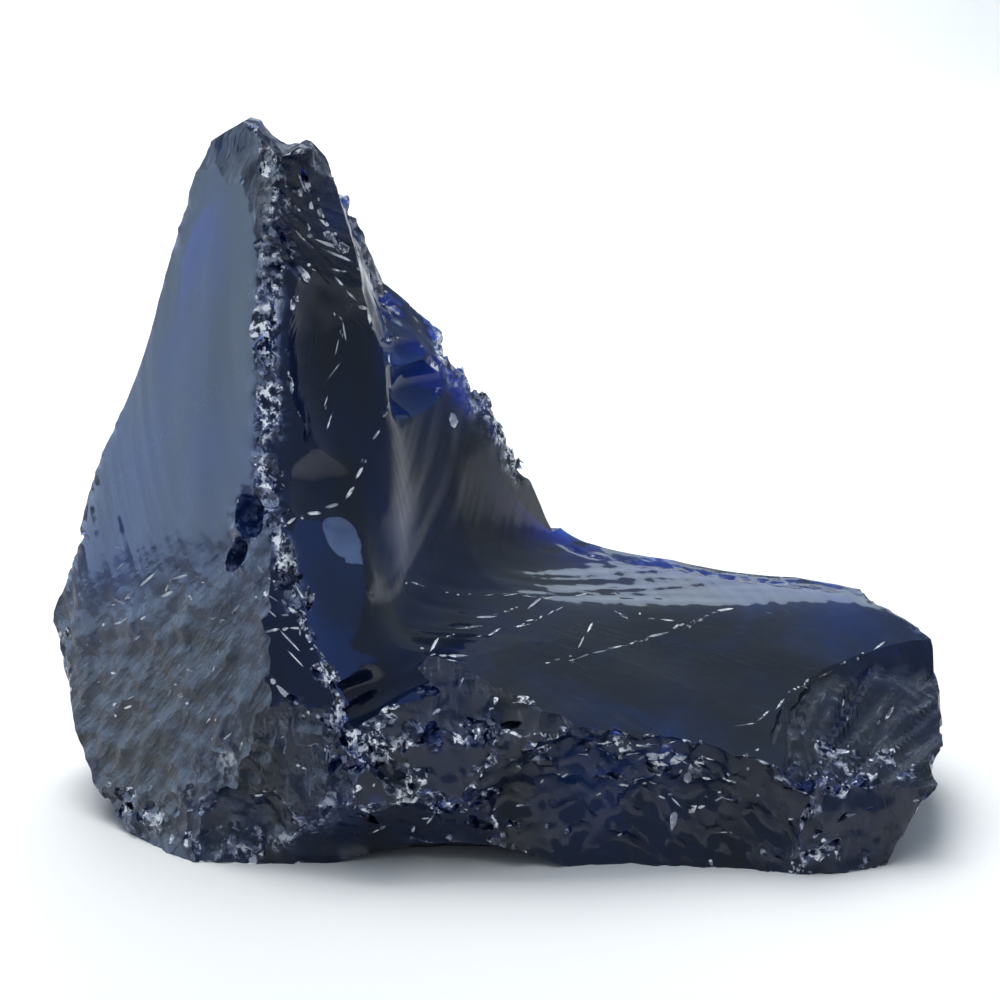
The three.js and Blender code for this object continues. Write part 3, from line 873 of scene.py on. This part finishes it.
def noise(tree, vector, scale, detail=4.0, roughness=0.6, distortion=0.0):
    return add_node(
        tree, "ShaderNodeTexNoise",
        {"Vector": vector, "Scale": scale, "Detail": detail, "Roughness": roughness,
         "Distortion": distortion},
    ).outputs[0]


def stretched(tree, vector, scale):
    return add_node(tree, "ShaderNodeMapping", {"Vector": vector, "Scale": scale}).outputs[0]


def span(tree, value, low, high, start=0.0, end=1.0):
    return add_node(
        tree, "ShaderNodeMapRange",
        {"Value": value, "From Min": low, "From Max": high, "To Min": start, "To Max": end},
    ).outputs[0]


def blend_of(tree, factor, first, second):
    node = add_node(tree, "ShaderNodeMix", {"Factor_Float": factor}, data_type="RGBA")
    for value, place in ((first, "A_Color"), (second, "B_Color")):
        socket = socket_of(node.inputs, place)
        if isinstance(value, bpy.types.NodeSocket):
            tree.links.new(value, socket)
        else:
            socket.default_value = (*value, 1)
    return socket_of(node.outputs, "Result_Color")


def glass_nodes(material):
    material.use_nodes = True
    tree = material.node_tree
    shader = tree.nodes["Principled BSDF"]
    matte = add_node(tree, "ShaderNodeAttribute", attribute_name="matte").outputs["Fac"]
    chipped = add_node(tree, "ShaderNodeAttribute", attribute_name="chipped").outputs["Fac"]
    lines = add_node(tree, "ShaderNodeUVMap", uv_map="break_lines").outputs[0]
    place = add_node(tree, "ShaderNodeTexCoord").outputs["Object"]

    # Painted light: blue glow standing in for light through thin glass, pale blue where it is strongest; it
    # also lowers the clearness there.
    glow = add_node(tree, "ShaderNodeAttribute", attribute_name="glow").outputs["Fac"]
    # White speckle on the chips: crushed glass, and partly painted glints.
    grit_and_glints = noise(tree, place, 1000, 4, 0.7)
    patch = span(tree, noise(tree, place, 330, 2), 0.38, 0.6, 0.2, 1.5)
    white = maths(tree, "MULTIPLY", chipped, span(tree, grit_and_glints, 0.46, 0.56))
    white = maths(tree, "MULTIPLY", white, patch)
    streaks = noise(tree, stretched(tree, lines, (0.25, 1.6, 1)), 1.0, 4, 0.65)
    frost = maths(tree, "MULTIPLY", matte, span(tree, streaks, 0.56, 0.72, 0.0, 0.6))
    white = maths(tree, "MAXIMUM", white, frost)
    whole = maths(tree, "SUBTRACT", chipped, 1.0)
    white = maths(tree, "MINIMUM", maths(tree, "MAXIMUM", white, whole), 1.0)
    bands = noise(tree, stretched(tree, place, (1, 1, 0.18)), 90, 3, 0.5, 0.6)
    bands = span(tree, bands, 0.4, 0.62)
    body = blend_of(tree, bands, DEEP_BLUE, SLATE_BLUE)
    dull = blend_of(tree, matte, body, DULL_GREY)
    strong_painted_light = maths(tree, "MAXIMUM", maths(tree, "SUBTRACT", glow, 1.0), 0.0)
    glow = maths(tree, "MULTIPLY", glow, span(tree, bands, 0, 1, 1.1, 0.5))
    glow = maths(tree, "MINIMUM", glow, 1.0)
    painted_light_colour = blend_of(tree, glow, dull, PAINTED_LIGHT_BLUE)
    painted_light_colour = blend_of(tree, strong_painted_light, painted_light_colour, PAINTED_BRIGHT_BLUE)
    colour = blend_of(tree, white, painted_light_colour, GLINT_AND_CRUSH_WHITE)
    tree.links.new(colour, shader.inputs["Base Color"])

    rough = maths(tree, "ADD", 0.05, maths(tree, "MULTIPLY", matte, 0.4))
    rough = maths(tree, "ADD", rough, maths(tree, "MULTIPLY", white, 0.3))
    tree.links.new(rough, shader.inputs["Roughness"])
    clear = maths(tree, "SUBTRACT", MOST_CLEAR, maths(tree, "MULTIPLY", white, 0.84))
    clear = maths(tree, "SUBTRACT", clear, maths(tree, "MULTIPLY", matte, 0.08))
    clear = maths(tree, "SUBTRACT", clear, maths(tree, "MULTIPLY", glow, 0.25))
    tree.links.new(clear, shader.inputs["Transmission Weight"])
    shader.inputs["IOR"].default_value = GLASS_BENDING
    shader.inputs["Specular IOR Level"].default_value = 0.11

    ripples = noise(tree, stretched(tree, lines, (1.0, 0.12, 1)), 0.4, 1, 0.5)
    hackles = noise(tree, stretched(tree, lines, (0.06, 0.8, 1)), 0.7, 1, 0.5)
    pits = noise(tree, place, 1100, 3, 0.6)
    gritty = maths(tree, "ADD", matte, maths(tree, "MULTIPLY", chipped, 0.6))
    height = maths(tree, "ADD", maths(tree, "MULTIPLY", ripples, 0.5), maths(tree, "MULTIPLY", hackles, 0.2))
    shells = add_node(tree, "ShaderNodeTexVoronoi", {"Vector": place, "Scale": 420.0, "Randomness": 1.0})
    pits = maths(tree, "ADD", pits, maths(tree, "MULTIPLY", shells.outputs["Distance"], 1.2))
    pits = maths(tree, "ADD", pits, maths(tree, "MULTIPLY", streaks, 2.0))
    height = maths(tree, "ADD", height, maths(tree, "MULTIPLY", pits, gritty))
    bump = add_node(tree, "ShaderNodeBump", {"Height": height, "Strength": 0.4, "Distance": 0.0005})
    tree.links.new(bump.outputs[0], shader.inputs["Normal"])

    depth = add_node(tree, "ShaderNodeVolumeAbsorption")
    depth.inputs["Color"].default_value = (*PASSED_BLUE, 1)
    depth.inputs["Density"].default_value = GLASS_DEPTH
    tree.links.new(depth.outputs[0], tree.nodes["Material Output"].inputs["Volume"])


glass_nodes(glass)
lump.data.transform(((MM, 0, 0, 0), (0, MM, 0, 0), (0, 0, MM, 0), (0, 0, 0, 1)))
for face in lump.data.polygons:
    face.use_smooth = True
lump.data.set_sharp_from_angle(angle=math.radians(32))
lump.name = "broken_glass"
lump.data.materials.clear()
lump.data.materials.append(glass)
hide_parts("glass_chunk")
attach(lump, "root")


# The table: a wide plain sheet of pale matte paper. It lies flat under the glass and curves up
# behind it, so that no edge of the sheet is seen.
def add_table():
    half, back, rise, bend = 4.0, 0.9, 0.14, 0.1
    steps = 12
    turns = [math.radians(90 * step / steps) for step in range(steps + 1)]
    curve = [(back - bend + bend * math.sin(t), bend - bend * math.cos(t)) for t in turns]
    profile = [(-half, 0.0), *curve, (back, bend + rise)]
    places = [(x, y, z) for y, z in profile for x in (-half, half)]
    faces = [(2 * i, 2 * i + 1, 2 * i + 3, 2 * i + 2) for i in range(len(profile) - 1)]
    table = mesh_object("table", places, faces)
    paper = bpy.data.materials.new("white_paper")
    paper.use_nodes = True
    shader = paper.node_tree.nodes["Principled BSDF"]
    shader.inputs["Base Color"].default_value = (0.95, 0.94, 0.92, 1)
    shader.inputs["Roughness"].default_value = 0.9
    shader.inputs["Specular IOR Level"].default_value = 0.0
    table.data.materials.append(paper)


add_table()


# The light: a large blue-white window to the left that only the glass mirrors, a low one behind,
# two soft strips above that brighten the paper, and a pale room all round.
def add_panel(name, place, aim, size, power, colour, shine=True, wash=True):
    light = bpy.data.lights.new(name, "AREA")
    light.shape = "RECTANGLE"
    light.size, light.size_y = size
    light.energy = power
    light.color = colour
    panel = bpy.data.objects.new(name, light)
    panel.location = place
    panel.rotation_euler = (Vector(aim) - Vector(place)).to_track_quat("-Z", "Y").to_euler()
    panel.visible_glossy = shine
    panel.visible_diffuse = wash
    panel.visible_camera = False
    bpy.context.scene.collection.objects.link(panel)


middle = (0, 0, 0.035)
add_panel("window", (-0.75, 0.1, 0.3), middle, (0.9, 0.9), 8.6, (0.54, 0.72, 1.0), wash=False)
add_panel("back_window", (0.05, 0.85, 0.33), middle, (0.8, 0.14), 0.5, (0.66, 0.80, 1.0))
add_panel("strip", (-0.06, 0.4, 0.34), (-0.06, 0.4, 0), (0.3, 0.9), 2.75, (0.96, 0.98, 1.0),
          shine=False)
add_panel("near_strip", (-0.05, -0.25, 0.45), (-0.05, -0.25, 0), (0.2, 0.5), 0.8, (0.95, 0.98, 1.0),
          shine=False)
world = bpy.data.worlds.new("room")
world.use_nodes = True
world.node_tree.nodes["Background"].inputs["Color"].default_value = (0.74, 0.87, 1.0, 1)
world.node_tree.nodes["Background"].inputs["Strength"].default_value = 0.4
bpy.context.scene.world = world


# The camera: held close, a little above the glass and square to its long side. A long lens keeps
# the lump's sides from spreading.
tilt = math.radians(14)
reach = 0.420
aim = Vector((0, 0, 0.0404))
camera_data = bpy.data.cameras.new("camera")
camera_data.lens = 121.6
camera_data.sensor_width = 36
camera_data.clip_start = 0.01
camera = bpy.data.objects.new("camera", camera_data)
camera.location = aim + Vector((0, -reach * math.cos(tilt), reach * math.sin(tilt)))
camera.rotation_euler = (math.radians(90) - tilt, 0, 0)
bpy.context.scene.collection.objects.link(camera)
bpy.context.scene.camera = camera
bpy.context.scene.view_settings.view_transform = "Standard"
